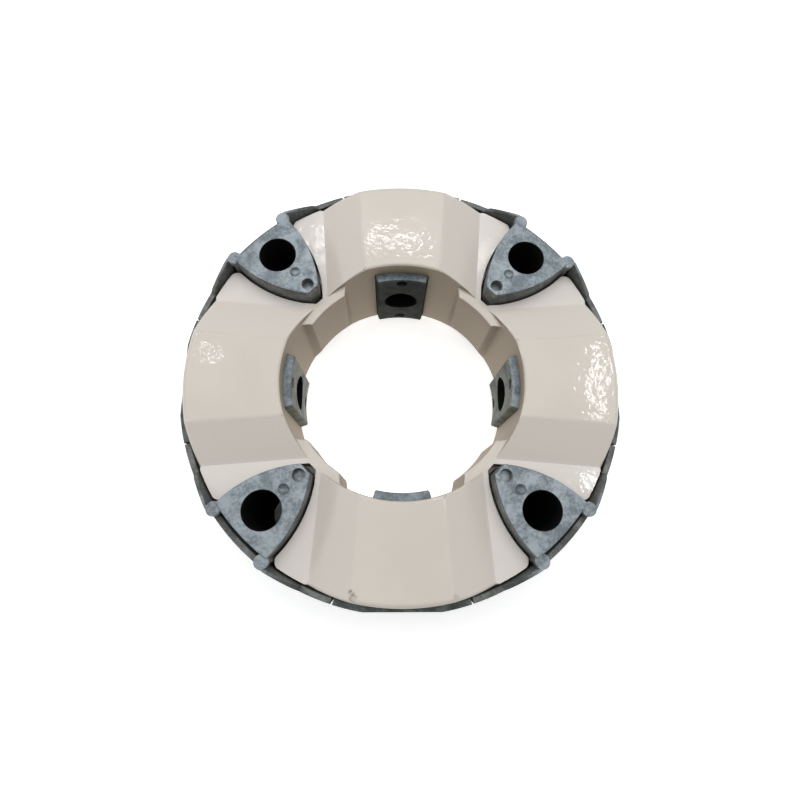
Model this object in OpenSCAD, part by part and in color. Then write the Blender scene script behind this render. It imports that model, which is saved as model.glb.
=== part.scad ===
// Element of a flexible flange coupling. A moulded elastic ring holds four axial inserts, which bolt to a
// flywheel, and four radial inserts, which bolt to a hub in the middle.
// Millimetres. +Z is the shaft axis, and the origin is on it at the back face of the axial inserts.

/* [Axial inserts] */
// Height of the bosses, which is the thickness of the whole part
boss_h = 64; // [62:0.5:72]
// Pitch circle diameter of the axial bolts
bolt_circle_d = 165; // [160:0.5:168]
// Bore for an axial bolt
axial_bore_d = 16.5; // [12:0.5:20]
// Distance from a bolt's axis inwards to the boss's blunt tip
tip_reach = 24.4; // [20:0.1:25]
// Width of the boss's blunt tip
tip_w = 6; // [4:0.1:8]
// Width of the boss at its outer corners
boss_w = 31.8; // [28:0.1:34]
// Radius of the boss's convex sides
side_r = 55.4; // [50:0.1:70]
// Diameter of the rounded outer faces of the bosses
boss_land_d = 190.6; // [186:0.1:192]
// Diameter of the blind tooling hole near the tip
tooling_hole_d = 5.4; // [3:0.1:6]
// Depth of the blind tooling hole
tooling_hole_depth = 4; // [1:0.1:10]
// Distance from a bolt's axis inwards to the tooling hole
tooling_hole_reach = 20.6; // [18:0.1:21]
// Diameter of the round dimple between the bolt and the tooling hole
dimple_d = 4.8; // [2:0.1:6]
// Depth of the round dimple
dimple_depth = 1.5; // [0.5:0.1:2]
// Distance from a bolt's axis inwards to the dimple
dimple_reach = 12.2; // [11:0.1:14]

/* [Wings of the axial inserts] */
// Outer diameter of the wings and of the radial inserts' plates
ring_d = 201; // [198:0.5:206]
// Thickness of a wing's band and of its lip
wing_t = 3.2; // [2.5:0.1:4.5]
// Thickness of a wing's rib at its top, from where it gets thicker down to the band
rib_t = 1.2; // [0.8:0.1:2.4]
// Angle from the middle of a boss to the end of its wing
wing_angle = 27.7; // [26:0.1:27.9]
// Angle from the middle of a boss to the foot of a rib's steep end
rib_foot_angle = 19.6; // [19.2:0.1:24]
// Angle from the middle of a boss to the top of a rib's steep end
rib_end_angle = 18.5; // [16:0.1:19]
// Height of a wing's band behind its rib
band_h = 33; // [24:0.5:40]
// Height of the lip from a rib's foot to the wing's end
lip_h = 46; // [42:0.5:47]
// Height of the shoulder behind a boss and at a rib's end
shoulder_h = 49; // [47.5:0.5:54]
// Height of the ears at a boss's outer corners
ear_h = 60; // [56:0.5:61.5]
// Width of an ear
ear_w = 6.4; // [6:0.1:7.6]
// Diameter across the ears
ear_span_d = 201.7; // [200:0.1:203]
// Distance between the two ears of a boss, middle to middle
ear_pitch = 30; // [27:0.1:30.5]

/* [Radial inserts] */
// Height of a radial insert
insert_h = 46; // [42:0.5:50]
// Width of an insert where it leaves the ring's bore
insert_w = 25.8; // [24.2:0.1:28]
// Width of an insert's nose at the hub
nose_w = 23.4; // [20:0.1:24]
// Diameter of the hub seat that the noses form
hub_seat_d = 101.2; // [99:0.1:103]
// Bore for a radial bolt
radial_bore_d = 16.5; // [12:0.5:18]
// Width of the flat seat for a radial bolt's head
head_flat_w = 33; // [28:0.1:36]
// Angle from the middle of an insert to the end of its outer plate
plate_angle = 16.8; // [14:0.1:17]
// Diameter of the two blind pin holes in a nose
pin_hole_d = 5.3; // [3:0.1:5.6]
// Depth of the pin holes
pin_hole_depth = 8; // [4:0.1:12]
// Distance between the two pin holes
pin_hole_pitch = 38.4; // [36:0.1:38.6]

/* [Elastic ring] */
// Thickness across the raised plateaus
plateau_h = 61.5; // [60:0.1:62]
// Thickness across the flats beside the bosses
flat_h = 46; // [42:0.1:50]
// Width of a plateau at the ring's outer edge
plateau_w = 42; // [38:0.1:46]
// Width of the ramp from a plateau down to a flat
ramp_w = 18.8; // [14:0.1:20]
// Taper of the plateaus and of the radial inserts towards the axis, each side
wedge_angle = 4.7; // [3:0.1:6]
// Diameter of the ring's bore
bore_d = 109; // [107:0.1:111]
// Diameter across the pads that cover the tips of the bosses
pad_d = 100.4; // [98:0.1:102]
// Width of a pad's face
pad_w = 21.2; // [18:0.1:24]
// Radius of a pad's upright edges and of the fillets at its root
pad_edge_r = 2.4; // [1:0.1:3]
// Depth of the conical lead-in for the hub, from the back of the flats
lead_in_depth = 9.4; // [6:0.1:10]
// Slope of the lead-in, from the axis
lead_in_angle = 22; // [16:0.5:23]
// Radius of the ring's corners beside the bosses
corner_r = 4; // [2:0.1:5]

/* [Fits] */
// Bond line between the elastic ring and each insert
bond_gap = 0.2; // [0.1:0.05:0.4]
// Open groove round a boss at the faces of the ring
mouth_gap = 1; // [0.6:0.05:1.4]
// Open groove at a boss's tip
tip_gap = 2.6; // [1.5:0.1:2.8]
// Depth of the open groove
mouth_depth = 10; // [2:0.1:14]

/* [Hidden] */
$fn = 96;
// Spare length by which a cut runs past the surface that it cuts
past = 2;
// Bosses, and the plateaus between them, round the ring
count = 4;
pitch_angle = 360 / count;
first_boss_angle = pitch_angle / 2;
// Slope of a pad's flanks against its middle line
flank_angle = 45;

mid_z = boss_h / 2;
ring_r = ring_d / 2;
wing_inner_r = ring_r - wing_t;
body_r = wing_inner_r - bond_gap;
land_r = boss_land_d / 2;
bore_r = bore_d / 2;
pad_r = pad_d / 2;
seat_r = hub_seat_d / 2;
bolt_x = bolt_circle_d / 2;
tip_x = bolt_x - tip_reach;
ear_r = ear_w / 2;
ear_t = ear_pitch / 2;
ear_x = chord_x(ear_span_d / 2 - ear_r, ear_t);
dimple_sphere_r = (pow(dimple_d / 2, 2) + pow(dimple_depth, 2)) / (2 * dimple_depth);

// Centre of the arc of radius side_r through a boss's outer corner and the end of its tip, on the +Y side
side_a = [chord_x(land_r, boss_w / 2), boss_w / 2];
side_b = [tip_x, tip_w / 2];
side_chord = norm(side_a - side_b);
side_dir = (side_a - side_b) / side_chord;
side_depth = chord_x(side_r, side_chord / 2);
side_centre = (side_a + side_b) / 2 + side_depth * [side_dir.y, -side_dir.x];

// A rounded corner's circle stands a little past both faces, so it crosses them instead of touching them
corner_past = 0.1;

// Centre of the rounded corner between a groove's side and the ring's outer face, on the +Y side
corner_inset = corner_r - corner_past;
corner_centre = circles_meet(body_r - corner_inset, side_centre, side_r + mouth_gap + corner_inset);

// A pad's flank on the +Y side: where it leaves the pad's face, its direction and the way into the pad
pad_corner = [chord_x(pad_r, pad_w / 2), pad_w / 2];
flank_dir = [cos(flank_angle), sin(flank_angle)];
flank_in = [sin(flank_angle), -cos(flank_angle)];

// Centres of the rounded edge between that flank and the pad's face, and of the fillet at its root
pad_inset = pad_edge_r - corner_past;
pad_edge_centre = line_meets(pad_corner + pad_inset * flank_in, flank_dir, pad_r + pad_inset);
pad_root_centre = line_meets(pad_corner - pad_inset * flank_in, flank_dir, bore_r - pad_inset);

// Distance from the axis to a chord that stands half_w wide to each side in a circle of radius r
function chord_x(r, half_w) = sqrt(pow(r, 2) - pow(half_w, 2));

// Point on the +Y side where a circle of radius r1 round the axis meets one of radius r2 round c
function circles_meet(r1, c, r2) =
    let (d = norm(c), along = (pow(d, 2) + pow(r1, 2) - pow(r2, 2)) / (2 * d))
    let (aside = sqrt(pow(r1, 2) - pow(along, 2)), u = c / d)
    along * u + aside * [-u.y, u.x];

// Point where a line from p along u leaves a circle of radius r round the axis
function line_meets(p, u, r) = p + u * (sqrt(pow(p * u, 2) - p * p + pow(r, 2)) - p * u);

// Half width of a wedge that measures half_w at x0, at the distance x from the axis
function wedge_half(half_w, x0, x) = half_w + (x - x0) * tan(wedge_angle);

// Outline of a wing's upper edge from the middle of the boss to the wing's end, as [sideways, up]
function wing_edge() = [
    [ear_t, shoulder_h / 2],
    [ear_t, ear_h / 2],
    [ear_t + ear_r, ear_h / 2],
    [ring_r * sin(rib_end_angle), shoulder_h / 2],
    [ring_r * sin(rib_foot_angle), lip_h / 2],
    [ring_r, lip_h / 2]
];

// The four quarter turns of an outline drawn for the upper right corner
function mirrored(points) = let (back = [for (i = [len(points) - 1 : -1 : 0]) points[i]]) concat(
    points,
    [for (p = back) [p.x, -p.y]],
    [for (p = points) [-p.x, -p.y]],
    [for (p = back) [-p.x, p.y]]
);

module tube(outer_r, inner_r, h) {
    difference() {
        cylinder(r = outer_r, h = h, center = true);
        cylinder(r = inner_r, h = h + past, center = true);
    }
}

// A wedge of half angle a about +X, from the axis outwards
module sector(a, h) {
    linear_extrude(height = h, center = true)
        polygon([[0, 0], [ring_d, -ring_d * tan(a)], [ring_d, ring_d * tan(a)]]);
}

// A prism along +X whose section is drawn as [sideways, up]
module along_x(points, x0, x1) {
    translate([x0, 0, 0]) rotate([90, 0, 90]) linear_extrude(height = x1 - x0) polygon(points);
}

// The plan of a boss, widened by side_gap at its sides and tip_gap_here at its tip, out to radius out_r
module boss_prism(side_gap, tip_gap_here, out_r, h) {
    intersection() {
        translate([side_centre.x, side_centre.y, 0]) cylinder(r = side_r + side_gap, h = h, center = true);
        translate([side_centre.x, -side_centre.y, 0]) cylinder(r = side_r + side_gap, h = h, center = true);
        cylinder(r = out_r, h = h + past, center = true);
        translate([tip_x - tip_gap_here, -ring_r, -h]) cube([ring_r, ring_d, 2 * h]);
    }
}

// One axial insert: a boss for an axial bolt, with ears, ribs and two wings round the ring
module axial_insert(angle) {
    color([0.58, 0.62, 0.65]) translate([0, 0, mid_z]) rotate([0, 0, angle]) difference() {
        union() {
            boss_prism(0, 0, land_r, boss_h);
            wings();
            for (side = [-1, 1])
                translate([ear_x, side * ear_t, 0]) cylinder(r = ear_r, h = ear_h, center = true);
        }
        translate([bolt_x, 0, 0]) cylinder(d = axial_bore_d, h = boss_h + past, center = true);
        translate([bolt_x - tooling_hole_reach, 0, mid_z - tooling_hole_depth])
            cylinder(d = tooling_hole_d, h = tooling_hole_depth + past);
        translate([bolt_x - dimple_reach, 0, mid_z + dimple_sphere_r - dimple_depth])
            rotate([90, 0, 0]) sphere(r = dimple_sphere_r);
    }
}

// The shell that the band and the ribs are cut from, with its inner face sloped above the band
module wing_shell() {
    slope_h = (boss_h - band_h) / 2 + past;
    slope = (wing_t - rib_t) / (ear_h - band_h) * 2;
    difference() {
        cylinder(r = ring_r, h = boss_h, center = true);
        cylinder(r = wing_inner_r, h = band_h, center = true);
        for (face = [0, 1]) mirror([0, 0, face]) translate([0, 0, band_h / 2])
            cylinder(r1 = wing_inner_r, r2 = wing_inner_r + slope * slope_h, h = slope_h);
    }
}

// Band, ribs, lips and shoulder of an axial insert
module wings() {
    shoulder = mirrored([[ear_t, shoulder_h / 2]]);
    intersection() {
        wing_shell();
        along_x(mirrored(wing_edge()), bolt_x, ear_span_d);
        sector(wing_angle, boss_h);
    }
    intersection() {
        tube(ring_r, wing_inner_r, lip_h);
        difference() {
            sector(wing_angle, boss_h);
            sector(rib_foot_angle, boss_h + past);
        }
    }
    intersection() {
        cylinder(r = ring_r, h = boss_h, center = true);
        along_x(shoulder, bolt_x + axial_bore_d / 2, ear_span_d);
    }
}

// Plan of a radial insert's stem, widened by gap, from the nose to the distance x1 from the axis
module stem_prism(gap, x1, h) {
    nose_x = chord_x(seat_r, nose_w / 2);
    wall_x = chord_x(bore_r, insert_w / 2);
    half = [
        [nose_x - past, nose_w / 2 - past * (insert_w - nose_w) / 2 / (wall_x - nose_x) + gap],
        [wall_x, insert_w / 2 + gap],
        [x1, wedge_half(insert_w / 2, wall_x, x1) + gap]
    ];
    linear_extrude(height = h, center = true)
        polygon(concat(half, [for (i = [len(half) - 1 : -1 : 0]) [half[i].x, -half[i].y]]));
}

// One radial insert: a nose that seats on the hub, a wedge through the ring and a plate outside it
module radial_insert(angle) {
    plate_x = chord_x(ring_r, head_flat_w / 2);
    color([0.55, 0.58, 0.6]) translate([0, 0, mid_z]) rotate([0, 0, angle]) difference() {
        union() {
            stem_prism(0, wing_inner_r, insert_h);
            intersection() {
                tube(ring_r, wing_inner_r, insert_h);
                sector(plate_angle, boss_h);
            }
        }
        cylinder(r = seat_r, h = insert_h + past, center = true);
        translate([plate_x, -head_flat_w, -insert_h]) cube([ring_r, 2 * head_flat_w, 2 * insert_h]);
        rotate([0, 90, 0]) cylinder(d = radial_bore_d, h = ring_d);
        for (side = [-1, 1]) translate([0, 0, side * pin_hole_pitch / 2]) rotate([0, 90, 0])
            cylinder(d = pin_hole_d, h = seat_r + pin_hole_depth);
    }
}

// All that lies above a plateau's ramp on its +Y side
module above_ramp() {
    rise = (plateau_h - flat_h) / 2;
    edge_x = chord_x(body_r, plateau_w / 2);
    translate([edge_x, plateau_w / 2, 0]) rotate([0, 0, wedge_angle]) along_x([
        [-past * ramp_w / rise, plateau_h / 2 + past],
        [ramp_w, flat_h / 2],
        [ring_r, flat_h / 2],
        [ring_r, plateau_h / 2 + past]
    ], -ring_d, ring_r);
}

// The dip between two plateaus, on the front face
module valley() {
    intersection() {
        above_ramp();
        rotate([0, 0, pitch_angle]) mirror([0, 1, 0]) above_ramp();
    }
}

// What lies between a corner and the circle of radius r round c that rounds it, seen from c along u and v
module corner_rest(c, r, u, v) {
    reach = r + past;
    difference() {
        polygon([c, c + reach * u, c + 2 * reach * (u + v), c + reach * v]);
        translate(c) circle(r = r);
    }
}

// Half of a pad's plan, on the +Y side
module half_pad_plan() {
    inner = pad_corner - past * flank_dir;
    outer = line_meets(pad_corner, flank_dir, bore_r + past);
    difference() {
        union() {
            polygon([[inner.x, -past], inner, outer, [bore_r + past, -past]]);
            corner_rest(pad_root_centre, pad_edge_r, pad_root_centre / norm(pad_root_centre), flank_in);
        }
        circle(r = pad_r);
        corner_rest(pad_edge_centre, pad_edge_r, -pad_edge_centre / norm(pad_edge_centre), -flank_in);
    }
}

// A pad that covers the tip of a boss
module pad() {
    linear_extrude(height = flat_h, center = true)
        for (side = [0, 1]) mirror([0, side]) half_pad_plan();
}

// Conical lead-in for the hub, through the pads and the ring's back
module lead_in() {
    h = lead_in_depth + (plateau_h - flat_h) / 2 + past;
    translate([0, 0, lead_in_depth - flat_h / 2 - h])
        cylinder(r1 = pad_r + h * tan(lead_in_angle), r2 = pad_r, h = h);
}

// What is cut off to round the ring's corner on the +Y side of a boss
module corner_cut() {
    groove_dir = (side_centre - corner_centre) / norm(side_centre - corner_centre);
    out_dir = corner_centre / norm(corner_centre);
    linear_extrude(height = plateau_h + past, center = true)
        corner_rest(corner_centre, corner_r, groove_dir, out_dir);
}

// Pocket for a boss, with an open groove at both faces of the ring
module boss_pocket() {
    boss_prism(bond_gap, bond_gap, ring_d, boss_h);
    for (face = [0, 1]) mirror([0, 0, face]) translate([0, 0, flat_h / 2 - mouth_depth + boss_h / 2])
        boss_prism(mouth_gap, tip_gap, ring_d, boss_h);
    for (side = [0, 1]) mirror([0, side, 0]) corner_cut();
}

module elastic_ring() {
    color([0.85, 0.81, 0.76]) translate([0, 0, mid_z]) difference() {
        union() {
            difference() {
                tube(body_r, bore_r, plateau_h);
                for (i = [0 : count - 1], face = [0, 1])
                    rotate([0, 0, i * pitch_angle]) mirror([0, 0, face]) valley();
            }
            for (i = [0 : count - 1]) rotate([0, 0, first_boss_angle + i * pitch_angle]) pad();
        }
        lead_in();
        for (i = [0 : count - 1]) {
            rotate([0, 0, first_boss_angle + i * pitch_angle]) boss_pocket();
            rotate([0, 0, i * pitch_angle]) stem_prism(bond_gap, ring_r, insert_h + 2 * bond_gap);
        }
    }
}

elastic_ring();
axial_insert(first_boss_angle);  // axial_insert_1
axial_insert(first_boss_angle + pitch_angle);  // axial_insert_2
axial_insert(first_boss_angle + 2 * pitch_angle);  // axial_insert_3
axial_insert(first_boss_angle + 3 * pitch_angle);  // axial_insert_4
radial_insert(0);  // radial_insert_1
radial_insert(pitch_angle);  // radial_insert_2
radial_insert(2 * pitch_angle);  // radial_insert_3
radial_insert(3 * pitch_angle);  // radial_insert_4
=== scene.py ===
"""Looks of a flexible coupling element: a cream moulded ring with eight cast aluminium inserts.

Every piece is a copy of its CAD node with the edges rounded as on the real part, in metres and in
the CAD's frame. The copies are dressed with procedural finishes, some with light and shade painted
into their colour, and the studio has a pale floor whose glow is painted light, soft light and the
photo's camera.
"""

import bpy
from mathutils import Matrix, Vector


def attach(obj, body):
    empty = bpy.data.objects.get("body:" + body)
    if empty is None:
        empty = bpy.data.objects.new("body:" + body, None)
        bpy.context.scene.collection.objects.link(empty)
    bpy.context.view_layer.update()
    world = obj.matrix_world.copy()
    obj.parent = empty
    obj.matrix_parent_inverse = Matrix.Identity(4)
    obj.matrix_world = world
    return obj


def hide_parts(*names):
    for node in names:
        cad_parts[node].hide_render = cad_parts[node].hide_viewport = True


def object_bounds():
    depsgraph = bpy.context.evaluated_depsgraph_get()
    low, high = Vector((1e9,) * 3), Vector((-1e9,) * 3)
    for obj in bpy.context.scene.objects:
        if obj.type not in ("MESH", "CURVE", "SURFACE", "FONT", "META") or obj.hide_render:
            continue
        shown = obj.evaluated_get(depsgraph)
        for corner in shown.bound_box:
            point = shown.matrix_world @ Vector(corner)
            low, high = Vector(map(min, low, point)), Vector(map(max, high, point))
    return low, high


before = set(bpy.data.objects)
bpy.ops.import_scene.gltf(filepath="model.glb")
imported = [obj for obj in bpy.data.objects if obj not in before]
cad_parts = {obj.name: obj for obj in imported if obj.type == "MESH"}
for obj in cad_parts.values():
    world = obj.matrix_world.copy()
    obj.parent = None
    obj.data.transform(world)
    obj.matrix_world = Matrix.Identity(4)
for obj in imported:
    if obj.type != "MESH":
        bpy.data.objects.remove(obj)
CAD_BOX = [list(corner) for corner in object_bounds()]

import logging
import math
from dataclasses import dataclass
from enum import Enum
from typing import Callable, List, Optional, Tuple, Union

import bmesh
import bpy
from mathutils import Matrix, Quaternion, Vector

LOG = logging.getLogger("coupling")
MM = 0.001
MID_Z = (CAD_BOX[0][2] + CAD_BOX[1][2]) / 2
HALF_DEPTH = (CAD_BOX[1][2] - CAD_BOX[0][2]) / 2
QUARTERS = 4
BODY = "root"

# How copies of the CAD meshes are merged, rounded and smoothed
MERGE_GAP = 0.16 * MM
SAME_PLANE = math.radians(0.5)
BEVEL_STEPS = 3
SMOOTH_BEND = math.radians(28)
SHARP_HOLLOW = math.radians(17)
CAST_BEND = math.radians(24)
LEVEL_Z = 0.5

# Where the bolt axes are, and how near an axis the edge of a bore or a small hole lies
BOLT_REACH = 82.5 * MM
BORE_REACH = 8.7 * MM
SMALL_HOLE_REACH = 2.9 * MM

Colour = Tuple[float, float, float]
Point = Tuple[float, float, float]
Socket = bpy.types.NodeSocket
Value = Union[float, Socket]
Paint = Union[Colour, Socket]
Piece = bpy.types.Object


class BoltRun(Enum):
    """Ways that a casting's bolt runs."""

    ALONG_SHAFT = "along the shaft"
    OUTWARD = "outward through the ring"


class Slot(Enum):
    """Names of the record's material slots, not used in this script."""

    RING = "elastic_ring"
    AXIAL = "axial_casting"
    RADIAL = "radial_casting"


@dataclass(frozen=True)
class Noise:
    """A noise's waves in a metre, its octaves of finer noise and its distortion."""

    scale: float
    detail: float = 3.0
    twist: float = 0.0


@dataclass(frozen=True)
class Span:
    """A range, from low to high, that is mapped smoothly onto another, from start to end."""

    low: float
    high: float
    start: float = 0.0
    end: float = 1.0


class Graph:
    """A material's node tree with one Principled shader, and short calls for its nodes."""

    def __init__(self, name: str) -> None:
        """Starts the material.

        Args:
            name: The material's name.
        """
        self.material = bpy.data.materials.new(name)
        self.material.use_nodes = True
        self.tree = self.material.node_tree
        self.tree.nodes.clear()
        self.shader = self.tree.nodes.new("ShaderNodeBsdfPrincipled")
        output = self.tree.nodes.new("ShaderNodeOutputMaterial")
        self.join(self.shader.outputs["BSDF"], output.inputs["Surface"])
        self.place = self.tree.nodes.new("ShaderNodeTexCoord").outputs["Object"]

    def join(self, start: Socket, end: Socket) -> None:
        """Links one socket to another."""
        self.tree.links.new(start, end)

    def put(self, socket: Socket, value: Union[Value, Tuple[float, ...]]) -> None:
        """Sets a number or colour on an input, or links a socket to it.

        Args:
            socket: The input.
            value: The number, the colour or the output.
        """
        if isinstance(value, Socket):
            self.join(value, socket)
        else:
            socket.default_value = value

    def drive(self, name: str, value: Socket) -> None:
        """Links a socket to an input of the shader."""
        self.join(value, self.shader.inputs[name])

    def noise(self, noise: Noise) -> Socket:
        """Adds a noise in the part's frame.

        Args:
            noise: What the noise is like.

        Returns:
            The noise's value, about 0 to 1.
        """
        node = self.tree.nodes.new("ShaderNodeTexNoise")
        node.inputs["Scale"].default_value = noise.scale
        node.inputs["Detail"].default_value = noise.detail
        node.inputs["Distortion"].default_value = noise.twist
        self.join(self.place, node.inputs["Vector"])
        return node.outputs["Fac"]

    def span(self, value: Value, span: Span) -> Socket:
        """Maps one range smoothly onto another and holds the ends outside it.

        Args:
            value: The number to map.
            span: The two ranges.

        Returns:
            The mapped number.
        """
        node = self.tree.nodes.new("ShaderNodeMapRange")
        node.interpolation_type = "SMOOTHSTEP"
        self.put(node.inputs["Value"], value)
        node.inputs["From Min"].default_value = span.low
        node.inputs["From Max"].default_value = span.high
        node.inputs["To Min"].default_value = span.start
        node.inputs["To Max"].default_value = span.end
        return node.outputs["Result"]

    def math(self, operation: str, first: Value, second: Value = 0.0) -> Socket:
        """Does one sum on two numbers.

        Args:
            operation: The sum's name in the Math node.
            first: The first number.
            second: The second number, where the sum needs one.

        Returns:
            The result.
        """
        node = self.tree.nodes.new("ShaderNodeMath")
        node.operation = operation
        self.put(node.inputs[0], first)
        self.put(node.inputs[1], second)
        return node.outputs["Value"]

    def vector(
        self, operation: str, first: Socket, second: Point = (0.0, 0.0, 0.0)
    ) -> bpy.types.Node:
        """Does one sum on a vector and a fixed vector.

        Args:
            operation: The sum's name in the Vector Math node.
            first: The vector.
            second: The fixed vector, where the sum needs one.

        Returns:
            The node, which gives a vector or a value.
        """
        node = self.tree.nodes.new("ShaderNodeVectorMath")
        node.operation = operation
        self.join(first, node.inputs[0])
        node.inputs[1].default_value = second
        return node

    def axes(self, source: Socket) -> bpy.types.NodeOutputs:
        """Splits a vector.

        Args:
            source: The vector.

        Returns:
            Its X, Y and Z, by name.
        """
        node = self.tree.nodes.new("ShaderNodeSeparateXYZ")
        self.join(source, node.inputs["Vector"])
        return node.outputs

    def levelness(self) -> Socket:
        """Gives how level the surface is: 1 on level faces, 0 on upright ones."""
        normal = self.tree.nodes.new("ShaderNodeNewGeometry").outputs["Normal"]
        return self.math("ABSOLUTE", self.axes(normal)["Z"])

    def height(self) -> Socket:
        """Gives how far the surface is from the part's middle plane, in metres."""
        return self.math("ABSOLUTE", self.math("SUBTRACT", self.axes(self.place)["Z"], MID_Z))

    def reach(self) -> Socket:
        """Gives how far the surface is from the shaft axis, in metres."""
        flat = self.vector("MULTIPLY", self.place, (1.0, 1.0, 0.0)).outputs["Vector"]
        return self.vector("LENGTH", flat).outputs["Value"]

    def mix(self, share: Value, first: Paint, second: Paint) -> Socket:
        """Mixes two colours.

        Args:
            share: The second colour's share, 0 to 1.
            first: The first colour.
            second: The second colour.

        Returns:
            The mixed colour.
        """
        node = self.tree.nodes.new("ShaderNodeMix")
        node.data_type = "RGBA"
        self.put(node.inputs["Factor"], share)
        for socket, colour in ((node.inputs[6], first), (node.inputs[7], second)):
            self.put(socket, colour if isinstance(colour, Socket) else (*colour, 1.0))
        return node.outputs[2]

    def bump(self, height: Socket, depth: float, under: Optional[Socket] = None) -> Socket:
        """Turns a height from 0 to 1 into a bumped normal.

        Args:
            height: The height.
            depth: What a height of 1 stands for, in metres.
            under: A bumped normal that this one lies on.

        Returns:
            The bumped normal.
        """
        node = self.tree.nodes.new("ShaderNodeBump")
        node.inputs["Strength"].default_value = 1.0
        node.inputs["Distance"].default_value = depth
        self.join(height, node.inputs["Height"])
        if under is not None:
            self.join(under, node.inputs["Normal"])
        return node.outputs["Normal"]


def tinted(colour: Colour, factor: float) -> Colour:
    """Makes a colour lighter or darker.

    Args:
        colour: The colour.
        factor: What each channel is multiplied by.

    Returns:
        The new colour.
    """
    return (colour[0] * factor, colour[1] * factor, colour[2] * factor)


def streaked(graph: Graph, streaks: Socket, colour: Colour, spread: float) -> Socket:
    """Breaks a colour up into lighter and darker streaks.

    Args:
        graph: The material's nodes.
        streaks: The streaks, 0 to 1.
        colour: The colour between them.
        spread: How much lighter and darker they are, as a share.

    Returns:
        The streaked colour.
    """
    return graph.mix(streaks, tinted(colour, 1 + spread), tinted(colour, 1 - spread))


@dataclass(frozen=True)
class Smudge:
    """A ragged spot of dirt."""

    at: Point
    radius: float
    strength: float
    colour: Colour = (0.16, 0.115, 0.08)
    core: float = 0.2
    patches: Noise = Noise(420, 4, twist=0.5)
    patch_low: float = 0.36
    patch_high: float = 0.56
    faintest: float = 0.2

    def over(self, graph: Graph, colour: Socket) -> Socket:
        """Lays the spot over a colour.

        Args:
            graph: The material's nodes.
            colour: The clean colour.

        Returns:
            The colour with the spot.
        """
        away = graph.vector("DISTANCE", graph.place, self.at).outputs["Value"]
        near = graph.span(away, Span(self.radius, self.core * self.radius))
        patchy = Span(self.patch_low, self.patch_high, self.faintest, self.strength)
        ragged = graph.span(graph.noise(self.patches), patchy)
        return graph.mix(graph.math("MULTIPLY", near, ragged), colour, self.colour)


@dataclass(frozen=True)
class CreamPlastic:
    """Glossy cream moulding: wavy skin, clouding, fine specks, brown smudges, and painted light and
    shade: paler ramps and low flats, darker walls.
    """

    name: str = "cream moulded plastic"
    light: Colour = (0.650, 0.600, 0.534)
    dark: Colour = (0.612, 0.560, 0.492)
    # Painted light: the ramps and the low flats beside the bosses are paler, lifting the shade that
    # falls on them.
    ramp: Colour = (0.675, 0.623, 0.565)
    flat: Colour = (0.700, 0.655, 0.612)
    # Painted shade: the upright walls are darker and browner.
    wall: Colour = (0.388, 0.323, 0.245)
    speck: Colour = (0.40, 0.34, 0.28)
    clouds: Noise = Noise(26, 4)
    clouding: Span = Span(0.35, 0.68)
    sloping: Span = Span(0.985, 0.95)
    upright: Span = Span(0.8, 0.2)
    low_down: Span = Span(23.6 * MM, 23.2 * MM)
    past_pads: Span = Span(54 * MM, 58 * MM)
    specks: Noise = Noise(1100, 2)
    specking: Span = Span(0.72, 0.80, 0.0, 0.4)
    gloss: float = 0.32
    haze: Noise = Noise(90, 3)
    roughness: Span = Span(0.3, 0.7, 0.04, 0.07)
    wall_roughness: float = 0.6
    waves: Noise = Noise(70, 0, twist=0.6)
    wave_depth: float = 0.10 * MM
    ripples: Noise = Noise(170, 0, twist=0.8)
    ripple_depth: float = 0.048 * MM
    fine: Noise = Noise(360, 0, twist=0.9)
    fine_depth: float = 0.034 * MM
    smudges: Tuple[Smudge, ...] = (
        Smudge((-20.7 * MM, -90.7 * MM, 62.7 * MM), radius=1.9 * MM, strength=0.9),
        Smudge((-19.9 * MM, -92.7 * MM, 62.7 * MM), radius=2.3 * MM, strength=0.9),
        Smudge((21.7 * MM, -92.5 * MM, 62.7 * MM), radius=2.0 * MM, strength=0.35),
    )

    def make(self) -> bpy.types.Material:
        """Builds the material.

        Returns:
            The material.
        """
        graph = Graph(self.name)
        clouds = graph.span(graph.noise(self.clouds), self.clouding)
        colour = graph.mix(clouds, self.light, self.dark)
        level = graph.levelness()
        # Painted light on the ramps.
        colour = graph.mix(graph.span(level, self.sloping), colour, self.ramp)
        # Painted light on the low flats, past the pads.
        low = graph.span(graph.height(), self.low_down)
        past_pads = graph.span(graph.reach(), self.past_pads)
        colour = graph.mix(graph.math("MULTIPLY", low, past_pads), colour, self.flat)
        # Painted shade on the upright walls.
        upright = graph.span(level, self.upright)
        colour = graph.mix(upright, colour, self.wall)
        specks = graph.span(graph.noise(self.specks), self.specking)
        colour = graph.mix(specks, colour, self.speck)
        for smudge in self.smudges:
            colour = smudge.over(graph, colour)
        graph.drive("Base Color", colour)
        rough = graph.span(graph.noise(self.haze), self.roughness)
        dull = graph.math("MULTIPLY", upright, self.wall_roughness)
        graph.drive("Roughness", graph.math("MAXIMUM", rough, dull))
        graph.shader.inputs["Specular IOR Level"].default_value = self.gloss
        waves = graph.bump(graph.noise(self.waves), self.wave_depth)
        ripples = graph.bump(graph.noise(self.ripples), self.ripple_depth, waves)
        off_walls = graph.math("SUBTRACT", 1.0, upright)
        fine = graph.math("MULTIPLY", graph.noise(self.fine), off_walls)
        graph.drive("Normal", graph.bump(fine, self.fine_depth, ripples))
        return graph.material


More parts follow.
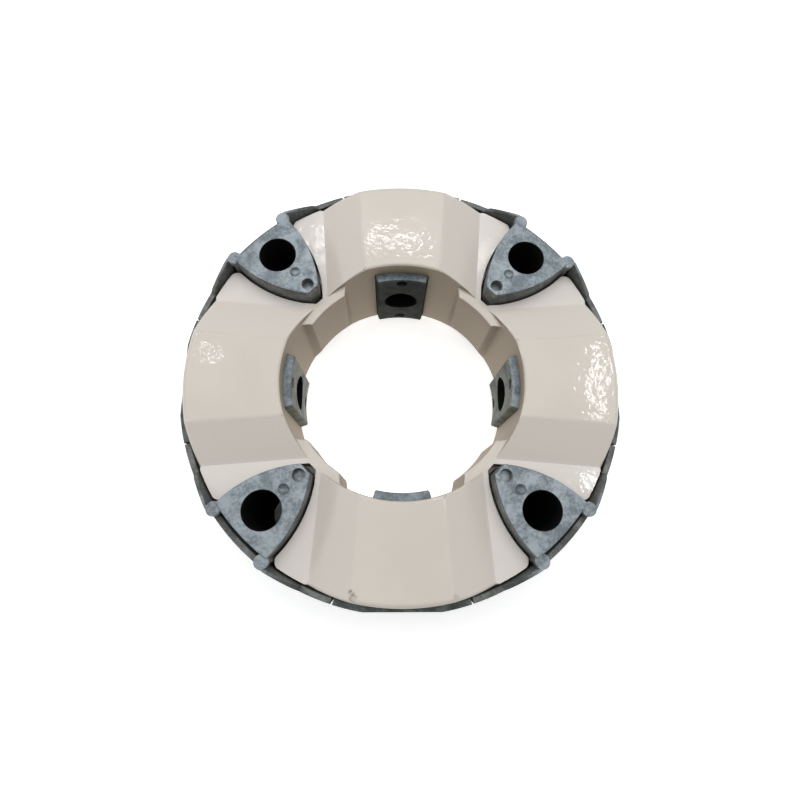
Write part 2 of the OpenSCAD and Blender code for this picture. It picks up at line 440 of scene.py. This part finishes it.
@dataclass(frozen=True)
class CastAluminium:
    """As-cast aluminium: mottled grey, dull on walls, darker low down and outside the ring below
    the rim, with a painted shadow line in the groove along the rim and painted shade in the bores.
    """

    name: str
    light: Colour
    dark: Colour
    wall: Colour
    low: Colour
    outer: Colour
    upright: Span
    low_down: Span
    bolts: BoltRun
    # Painted shade: near-black deep in the bores.
    bore: Colour = (0.008, 0.008, 0.008)
    # Painted shadow: a near-black line in the groove along the ring's rim.
    crevice: Colour = (0.012, 0.012, 0.011)
    in_bore: Span = Span(BORE_REACH, 8.35 * MM)
    past_ring: Span = Span(95.5 * MM, 96.5 * MM)
    in_groove: Span = Span(98.4 * MM, 97.6 * MM)
    under_rim: Span = Span(28.5 * MM, 26.5 * MM)
    blotches: Noise = Noise(130, 5, twist=0.4)
    blotch_share: float = 0.6
    grain: Noise = Noise(900, 3)
    grain_share: float = 0.4
    mottling: Span = Span(0.40, 0.62)
    streaking: Span = Span(0.38, 0.62)
    wall_spread: float = 0.4
    low_and_outer_spread: float = 0.25
    low_share: float = 0.75
    outer_share: float = 0.85
    gloss: float = 0.08
    metallic: Span = Span(0.0, 1.0, 0.6, 0.0)
    roughness: Span = Span(0.38, 0.64, 0.40, 0.58)
    wall_roughness: float = 0.9
    pits: Noise = Noise(1500, 3)
    pit_depth: float = 0.05 * MM
    skin: Noise = Noise(260, 3)
    skin_depth: float = 0.12 * MM

    def bore_distance(self, graph: Graph) -> Socket:
        """Measures the distance from the nearest bolt axis.

        Args:
            graph: The material's nodes.

        Returns:
            The distance, in metres.
        """
        folded = graph.vector("ABSOLUTE", graph.place).outputs["Vector"]
        if self.bolts is BoltRun.ALONG_SHAFT:
            flat = graph.vector("MULTIPLY", folded, (1.0, 1.0, 0.0)).outputs["Vector"]
            corner = BOLT_REACH / math.sqrt(2)
            return graph.vector("DISTANCE", flat, (corner, corner, 0.0)).outputs["Value"]
        split = graph.axes(folded)
        aside = graph.math("MINIMUM", split["X"], split["Y"])
        above = graph.math("SUBTRACT", split["Z"], MID_Z)
        squares = [graph.math("MULTIPLY", part, part) for part in (aside, above)]
        return graph.math("SQRT", graph.math("ADD", *squares))

    def make(self) -> bpy.types.Material:
        """Builds the material.

        Returns:
            The material.
        """
        graph = Graph(self.name)
        blotches = graph.math("MULTIPLY", graph.noise(self.blotches), self.blotch_share)
        grain = graph.math("MULTIPLY", graph.noise(self.grain), self.grain_share)
        mottle = graph.math("ADD", blotches, grain)
        streaks = graph.span(mottle, self.streaking)
        height, reach = graph.height(), graph.reach()
        wall = graph.span(graph.levelness(), self.upright)
        # Darker low down, and darker outside the ring below the rim.
        low = graph.math("MULTIPLY", graph.span(height, self.low_down), self.low_share)
        past_ring = graph.span(reach, self.past_ring)
        outside_low = graph.math("MULTIPLY", past_ring, graph.span(height, self.under_rim))
        outer_mix = graph.math("MULTIPLY", outside_low, self.outer_share)
        # Painted shadow line in the groove between the ring's rim and the metal outside it.
        groove = graph.math("MULTIPLY", outside_low, graph.span(reach, self.in_groove))
        # Painted shade deep in the bores.
        deep = graph.span(self.bore_distance(graph), self.in_bore)

        colour = graph.mix(graph.span(mottle, self.mottling), self.light, self.dark)
        colour = graph.mix(wall, colour, streaked(graph, streaks, self.wall, self.wall_spread))
        colour = graph.mix(low, colour, streaked(graph, streaks, self.low, self.low_and_outer_spread))
        colour = graph.mix(outer_mix, colour, streaked(graph, streaks, self.outer, self.low_and_outer_spread))
        colour = graph.mix(groove, colour, self.crevice)
        graph.drive("Base Color", graph.mix(deep, colour, self.bore))

        dull = graph.math("MAXIMUM", deep, wall)
        rough = graph.span(mottle, self.roughness)
        rough_walls = graph.math("MULTIPLY", dull, self.wall_roughness)
        graph.drive("Metallic", graph.span(dull, self.metallic))
        graph.drive("Roughness", graph.math("MAXIMUM", rough, rough_walls))
        graph.shader.inputs["Specular IOR Level"].default_value = self.gloss
        pits = graph.bump(graph.noise(self.pits), self.pit_depth)
        graph.drive("Normal", graph.bump(graph.noise(self.skin), self.skin_depth, pits))
        return graph.material


@dataclass(frozen=True)
class FloorPaint:
    """Plain pale floor that glows softly as painted light, washing out its shadows, most inside the
    hub and not under the part.
    """

    name: str = "pale floor"
    colour: Colour = (0.92, 0.92, 0.92)
    # Painted light: the glow lifts the floor's shade inside the hub and round the part, and stops
    # under the part.
    hub_glow: Span = Span(62 * MM, 66 * MM, 0.70, 0.0)
    outer_glow: Span = Span(97 * MM, 101 * MM, 0.0, 0.5)
    roughness: float = 0.9
    gloss: float = 0.1

    def make(self) -> bpy.types.Material:
        """Builds the material.

        Returns:
            The material.
        """
        graph = Graph(self.name)
        for name in ("Base Color", "Emission Color"):
            graph.shader.inputs[name].default_value = (*self.colour, 1.0)
        reach = graph.reach()
        hub = graph.span(reach, self.hub_glow)
        outer = graph.span(reach, self.outer_glow)
        graph.drive("Emission Strength", graph.math("ADD", hub, outer))
        graph.shader.inputs["Roughness"].default_value = self.roughness
        graph.shader.inputs["Specular IOR Level"].default_value = self.gloss
        return graph.material


def select_only(piece: Piece) -> None:
    """Makes a piece the one selected and active object.

    Args:
        piece: The piece.
    """
    bpy.ops.object.select_all(action="DESELECT")
    piece.select_set(True)
    bpy.context.view_layer.objects.active = piece


def copy_of(node: str, name: str) -> Piece:
    """Copies a CAD node's mesh into a new piece with its triangles merged into whole faces.

    Args:
        node: The CAD node's name.
        name: The new piece's name.

    Returns:
        The piece, at the origin.
    """
    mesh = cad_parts[node].data.copy()
    mesh.name = name
    mesh.materials.clear()
    piece = bpy.data.objects.new(name, mesh)
    bpy.context.scene.collection.objects.link(piece)
    select_only(piece)
    bpy.ops.object.mode_set(mode="EDIT")
    bpy.ops.mesh.select_all(action="SELECT")
    bpy.ops.mesh.customdata_custom_splitnormals_clear()
    bpy.ops.mesh.remove_doubles(threshold=MERGE_GAP)
    bpy.ops.mesh.dissolve_limited(angle_limit=SAME_PLANE)
    bpy.ops.object.mode_set(mode="OBJECT")
    return piece


def fade(radius: float, left: float, length: float) -> float:
    """Lets a rounding run out near the end of its edge.

    Args:
        radius: The full rounding.
        left: What is left of the edge.
        length: Where the rounding starts to run out, as a length from the end.

    Returns:
        The rounding there.
    """
    return radius * min(1.0, max(0.0, left / length))


def round_edges(piece: Piece, radius_at: Callable[[Vector, float], float], widest: float) -> None:
    """Rounds a piece's edges and smooths its shading.

    Args:
        piece: The piece.
        radius_at: Gives how far an edge is cut back, from its middle and the bend across it, which
            is below 0 in a hollow.
        widest: The most that any edge is cut back.
    """
    mesh = piece.data
    shape = bmesh.new()
    shape.from_mesh(mesh)
    weights = []
    for edge in shape.edges:
        middle = (edge.verts[0].co + edge.verts[1].co) / 2
        bend = edge.calc_face_angle_signed(0.0)
        weights.append(radius_at(middle, bend) / widest)
    shape.free()
    mesh.attributes.new("bevel_weight_edge", "FLOAT", "EDGE").data.foreach_set("value", weights)
    select_only(piece)
    bevel = piece.modifiers.new("rounded edges", "BEVEL")
    bevel.limit_method = "WEIGHT"
    bevel.width = widest
    bevel.segments = BEVEL_STEPS
    bevel.use_clamp_overlap = False
    bpy.ops.object.modifier_apply(modifier=bevel.name)
    bpy.ops.object.shade_smooth_by_angle(angle=SMOOTH_BEND)
    shape = bmesh.new()
    shape.from_mesh(mesh)
    for edge in shape.edges:
        level = all(abs(face.normal.z) > LEVEL_Z for face in edge.link_faces)
        foot = level and edge.calc_face_angle_signed(0.0) < -SHARP_HOLLOW
        edge.smooth = edge.smooth and not foot
    shape.to_mesh(mesh)
    shape.free()
    even = piece.modifiers.new("even shading", "WEIGHTED_NORMAL")
    even.keep_sharp = True
    bpy.ops.object.modifier_apply(modifier=even.name)


def turned_copy(first: Piece, name: str, turn: float) -> Piece:
    """Copies a piece with its own mesh, turned about the shaft axis.

    Args:
        first: The piece to copy.
        name: The copy's name.
        turn: The turn, in radians.

    Returns:
        The copy, with its place in its mesh.
    """
    mesh = first.data.copy()
    mesh.name = name
    mesh.transform(Matrix.Rotation(turn, 4, "Z"))
    piece = bpy.data.objects.new(name, mesh)
    bpy.context.scene.collection.objects.link(piece)
    return piece


def round_the_ring(first: Piece, stem: str) -> List[Piece]:
    """Copies a piece to the other quarters of the ring.

    Args:
        first: The piece in the first quarter.
        stem: The names' common start.

    Returns:
        All four pieces.
    """
    turn = math.tau / QUARTERS
    return [first] + [turned_copy(first, f"{stem}_{i + 1}", i * turn) for i in range(1, QUARTERS)]


def settle(piece: Piece, node: str, finish: bpy.types.Material) -> None:
    """Gives a piece its finish and its place in the frame.

    Args:
        piece: The piece.
        node: The CAD node that it stands for.
        finish: The material.
    """
    piece.data.materials.clear()
    piece.data.materials.append(finish)
    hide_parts(node)
    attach(piece, BODY)


@dataclass
class ElasticRing:
    """The moulded ring, with soft edges at its bore, rim, ramps and grooves."""

    node: str = "elastic_ring"
    bore_r: float = 54.5 * MM
    outer_r: float = 97.1 * MM
    flat_half: float = 23 * MM
    passage_half: float = 13.3 * MM
    bore_edge: float = 1.6 * MM
    bore_fade: float = 8 * MM
    rim_edge: float = 2.2 * MM
    ramp_edge: float = 1.6 * MM
    crease: float = 0.9 * MM
    pad_edge: float = 0.8 * MM
    pad_root: float = 54 * MM
    mouth_edge: float = 0.4 * MM
    mouth_start: float = 57.5 * MM
    mouth_end: float = 92.5 * MM
    mouth_fade: float = 4 * MM
    pad_fade: float = 2 * MM
    plateau_rise: float = 7.75 * MM
    plateau_slack: float = 0.3 * MM
    crease_rise: float = 3 * MM
    passage_rise: float = 1 * MM
    rim_rise: float = 0.5 * MM
    flat_slack: float = 0.1 * MM
    inner_slack: float = 0.4 * MM
    outer_slack: float = 0.5 * MM
    least_bend: float = math.radians(17)
    crease_bend: float = math.radians(32)

    def edge_radius(self, middle: Vector, bend: float) -> float:
        """Says how far an edge is cut back.

        Args:
            middle: The edge's middle.
            bend: The angle between its two faces.

        Returns:
            The cut, in metres.
        """
        reach = math.hypot(middle.x, middle.y)
        rise = abs(middle.z - MID_Z) - self.flat_half
        if bend < self.least_bend or rise < -self.flat_slack:
            return 0.0
        if rise < self.passage_rise and min(abs(middle.x), abs(middle.y)) < self.passage_half:
            return 0.0
        if bend < self.crease_bend:
            return self.crease if rise > self.crease_rise else 0.0
        if reach < self.bore_r - self.inner_slack:
            if middle.z < MID_Z:
                return 0.0
            return fade(self.pad_edge, self.pad_root - reach, self.pad_fade)
        if reach < self.bore_r + self.outer_slack:
            return fade(self.bore_edge, rise, self.bore_fade)
        if reach > self.outer_r - self.inner_slack:
            if rise < self.rim_rise:
                return 0.0
            on_plateau = rise > self.plateau_rise - self.plateau_slack
            return self.rim_edge if on_plateau else self.ramp_edge
        along = (abs(middle.x) + abs(middle.y)) / math.sqrt(2)
        if along < self.mouth_start:
            return 0.0
        return fade(self.mouth_edge, self.mouth_end - along, self.mouth_fade)

    def build(self) -> List[Piece]:
        """Models the ring.

        Returns:
            The one piece.
        """
        ring = copy_of(self.node, "ring_moulding")
        round_edges(ring, self.edge_radius, max(self.bore_edge, self.rim_edge))
        return [ring]

    def dress(self, pieces: List[Piece]) -> None:
        """Gives the ring its cream plastic.

        Args:
            pieces: The one piece.
        """
        plastic = CreamPlastic().make()
        for piece in pieces:
            settle(piece, self.node, plastic)


@dataclass
class AxialInserts:
    """The four castings with a boss for an axial bolt, ears, ribs and wings."""

    node: str = "axial_insert"
    first_turn: float = math.radians(45)
    top: float = HALF_DEPTH
    ear_top: float = 30 * MM
    rib_low: float = 22.5 * MM
    wing_reach: float = 96 * MM
    tip_reach: float = 58.6 * MM
    outline_edge: float = 0.5 * MM
    ear_edge: float = 0.4 * MM
    rib_edge: float = 0.3 * MM
    bore_edge: float = 0.4 * MM
    hole_edge: float = 0.3 * MM
    hole_reach: float = 66 * MM
    level_slack: float = 0.2 * MM

    def edge_radius(self, middle: Vector, bend: float) -> float:
        """Says how far an edge is cut back.

        Args:
            middle: The edge's middle.
            bend: The angle between its two faces.

        Returns:
            The cut, in metres.
        """
        if bend < CAST_BEND:
            return 0.0
        at = Matrix.Rotation(-self.first_turn, 3, "Z") @ middle
        height = abs(at.z - MID_Z)
        on_top = height > self.top - self.level_slack
        if math.hypot(at.x - BOLT_REACH, at.y) < BORE_REACH:
            return self.bore_edge
        if abs(at.y) < SMALL_HOLE_REACH and self.tip_reach < at.x < BOLT_REACH:
            return self.hole_edge if on_top and at.x < self.hole_reach else 0.0
        if on_top:
            return self.outline_edge
        if height > self.ear_top - self.level_slack:
            return self.ear_edge
        on_rib = height > self.rib_low and math.hypot(at.x, at.y) > self.wing_reach
        return self.rib_edge if on_rib else 0.0

    def build(self) -> List[Piece]:
        """Models the first casting and copies it round the ring.

        Returns:
            The four pieces.
        """
        first = copy_of(self.node + "_1", "axial_casting_1")
        round_edges(first, self.edge_radius, self.outline_edge)
        return round_the_ring(first, "axial_casting")

    def dress(self, pieces: List[Piece]) -> None:
        """Gives the castings their aluminium.

        Args:
            pieces: The four pieces.
        """
        metal = CastAluminium(
            name="axial cast aluminium",
            light=(0.276, 0.315, 0.337),
            dark=(0.167, 0.195, 0.215),
            wall=(0.200, 0.198, 0.185),
            low=(0.160, 0.165, 0.160),
            outer=(0.125, 0.132, 0.124),
            upright=Span(0.75, 0.35, 0.0, 0.8),
            low_down=Span(29.5 * MM, 26.5 * MM),
            bolts=BoltRun.ALONG_SHAFT,
        ).make()
        for number, piece in enumerate(pieces, 1):
            settle(piece, f"{self.node}_{number}", metal)


@dataclass
class RadialInserts:
    """The four castings with a nose for the hub, a stem through the ring and an outer plate."""

    node: str = "radial_insert"
    nose_reach: float = 55 * MM
    pin_height: float = 19.2 * MM
    nose_edge: float = 0.8 * MM
    bore_edge: float = 0.4 * MM
    # Painted light and shade: each nose's walls and low faces take this dark colour times its own
    # factor below, for the inserts at +X, +Y, -X and -Y; the nose at +Y faces away from the light
    # and is darkest.
    nose_dark: Colour = (0.040, 0.042, 0.038)
    nose_light_shade: Tuple[float, ...] = (5.0, 1.1, 6.5, 5.0)

    def edge_radius(self, middle: Vector, bend: float) -> float:
        """Says how far an edge is cut back.

        Args:
            middle: The edge's middle.
            bend: The angle between its two faces.

        Returns:
            The cut, in metres.
        """
        if bend < CAST_BEND:
            return 0.0
        height = middle.z - MID_Z
        if math.hypot(middle.y, height) < BORE_REACH:
            return self.bore_edge
        if math.hypot(middle.y, abs(height) - self.pin_height) < SMALL_HOLE_REACH:
            return 0.0
        return self.nose_edge if middle.x < self.nose_reach else 0.0

    def build(self) -> List[Piece]:
        """Models the first casting and copies it round the ring.

        Returns:
            The four pieces.
        """
        first = copy_of(self.node + "_1", "radial_casting_1")
        round_edges(first, self.edge_radius, self.nose_edge)
        return round_the_ring(first, "radial_casting")

    def dress(self, pieces: List[Piece]) -> None:
        """Gives the castings their aluminium, each nose with its own painted light and shade.

        Args:
            pieces: The four pieces.
        """
        for number, (piece, tone) in enumerate(zip(pieces, self.nose_light_shade), 1):
            # Four copies of one aluminium, differing only in the painted light and shade on the
            # nose.
            metal = CastAluminium(
                name=f"radial cast aluminium {number}",
                light=(0.228, 0.268, 0.290),
                dark=(0.132, 0.158, 0.172),
                wall=tinted(self.nose_dark, tone),
                low=tinted(self.nose_dark, tone),
                outer=(0.070, 0.077, 0.073),
                upright=Span(0.75, 0.35, 0.0, 0.85),
                low_down=Span(22 * MM, 19 * MM),
                bolts=BoltRun.OUTWARD,
            )
            settle(piece, f"{self.node}_{number}", metal.make())


@dataclass(frozen=True)
class Softbox:
    """An area light that looks at the middle of the part.

    Its angles are in degrees, with the azimuth from +Y towards +X, and its lengths are in metres.
    """

    name: str
    azimuth: float
    elevation: float
    distance: float
    width: float
    height: float
    watts: float
    roll: float = 0.0

    def build(self) -> None:
        """Adds the light."""
        data = bpy.data.lights.new(self.name, "AREA")
        data.shape = "RECTANGLE"
        data.size = self.width
        data.size_y = self.height
        data.energy = self.watts
        light = bpy.data.objects.new(self.name, data)
        side, up = math.radians(self.azimuth), math.radians(self.elevation)
        aim = Vector((math.sin(side) * math.cos(up), math.cos(side) * math.cos(up), math.sin(up)))
        light.location = aim * self.distance + Vector((0, 0, MID_Z))
        spin = Quaternion((0, 0, 1), math.radians(self.roll))
        light.rotation_euler = (aim.to_track_quat("Z", "Y") @ spin).to_euler()
        bpy.context.scene.collection.objects.link(light)


@dataclass
class Studio:
    """Pale floor, soft light and plain colour handling."""

    floor_size: float = 6.0
    dome: float = 0.22
    dome_colour: Colour = (0.97, 0.985, 1.0)
    # After its name: azimuth, elevation, distance, width, height and watts
    lights: Tuple[Softbox, ...] = (
        Softbox("overhead softbox", 0, 78, 1.1, 1.5, 1.20, 9.7),
        Softbox("back softbox", 1, 53.7, 1.1, 0.50, 0.30, 0.60),
        Softbox("left panel", -75, 25, 1.2, 0.5, 0.16, 2.4),
        Softbox("right panel", 80, 25, 1.2, 0.5, 0.4, 1.6),
        Softbox("back strip", 1.5, 56.6, 1.3, 0.15, 0.022, 0.25),
        Softbox("back left strip", -16, 56, 1.3, 0.03, 0.07, 0.08),
        Softbox("back right strip", 20, 56.5, 1.3, 0.03, 0.05, 0.05),
        Softbox("right strip", 60.4, 60.1, 1.3, 0.20, 0.022, 0.28, roll=-31),
        Softbox("right low strip", 84, 64.6, 1.3, 0.04, 0.05, 0.17),
        Softbox("left strip", -51, 61, 1.3, 0.016, 0.05, 0.04),
    )

    def build(self) -> None:
        """Adds the floor, the dome and the lights."""
        bpy.ops.object.select_all(action="DESELECT")
        bpy.ops.mesh.primitive_plane_add(size=self.floor_size, location=(0, 0, 0))
        floor = bpy.context.active_object
        floor.name = "studio_floor"
        floor.data.materials.append(FloorPaint().make())
        world = bpy.data.worlds.new("soft dome")
        world.use_nodes = True
        dome = world.node_tree.nodes["Background"]
        dome.inputs["Color"].default_value = (*self.dome_colour, 1.0)
        dome.inputs["Strength"].default_value = self.dome
        bpy.context.scene.world = world
        for light in self.lights:
            light.build()
        bpy.context.scene.view_settings.view_transform = "Standard"


@dataclass
class PhotoCamera:
    """The photo's camera, fitted to the bolt holes and rims, with its angles in degrees."""

    place: Point = (-0.00648, -0.06517, 0.28081)
    turn: float = 0.3
    tilt: float = 13.98
    pan: float = 1.35
    roll: float = 0.03
    focal_px: float = 511.98
    frame_px: float = 800.0
    sensor_mm: float = 36.0
    clip_start: float = 10 * MM

    def build(self) -> None:
        """Adds the camera and makes it the scene's own."""
        tilt, pan, roll = (math.radians(a) for a in (self.tilt, self.pan, self.roll))
        look = Vector((0, math.sin(tilt), -math.cos(tilt)))
        up = Vector((0, math.cos(tilt), math.sin(tilt)))
        right = Vector((1, 0, 0))
        ahead = look * math.cos(pan) + right * math.sin(pan)
        right = right * math.cos(pan) - look * math.sin(pan)
        level = right * math.cos(roll) + up * math.sin(roll)
        raised = up * math.cos(roll) - right * math.sin(roll)
        axes = Matrix((level, raised, -ahead)).transposed().to_4x4()
        data = bpy.data.cameras.new("photo camera")
        data.sensor_width = self.sensor_mm
        data.lens = self.focal_px / self.frame_px * self.sensor_mm
        data.clip_start = self.clip_start
        camera = bpy.data.objects.new("photo camera", data)
        spin = Matrix.Rotation(math.radians(self.turn), 4, "Z")
        camera.matrix_world = spin @ Matrix.Translation(Vector(self.place)) @ axes
        bpy.context.scene.collection.objects.link(camera)
        bpy.context.scene.camera = camera


def main() -> None:
    """Adds the camera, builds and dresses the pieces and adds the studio."""
    logging.basicConfig(level=logging.INFO, format="%(name)s: %(message)s")
    PhotoCamera().build()
    for part in (ElasticRing(), AxialInserts(), RadialInserts()):
        pieces = part.build()
        part.dress(pieces)
        for piece in pieces:
            LOG.info("%s has %d faces", piece.name, len(piece.data.polygons))
    Studio().build()


if __name__ == "__main__":
    main()
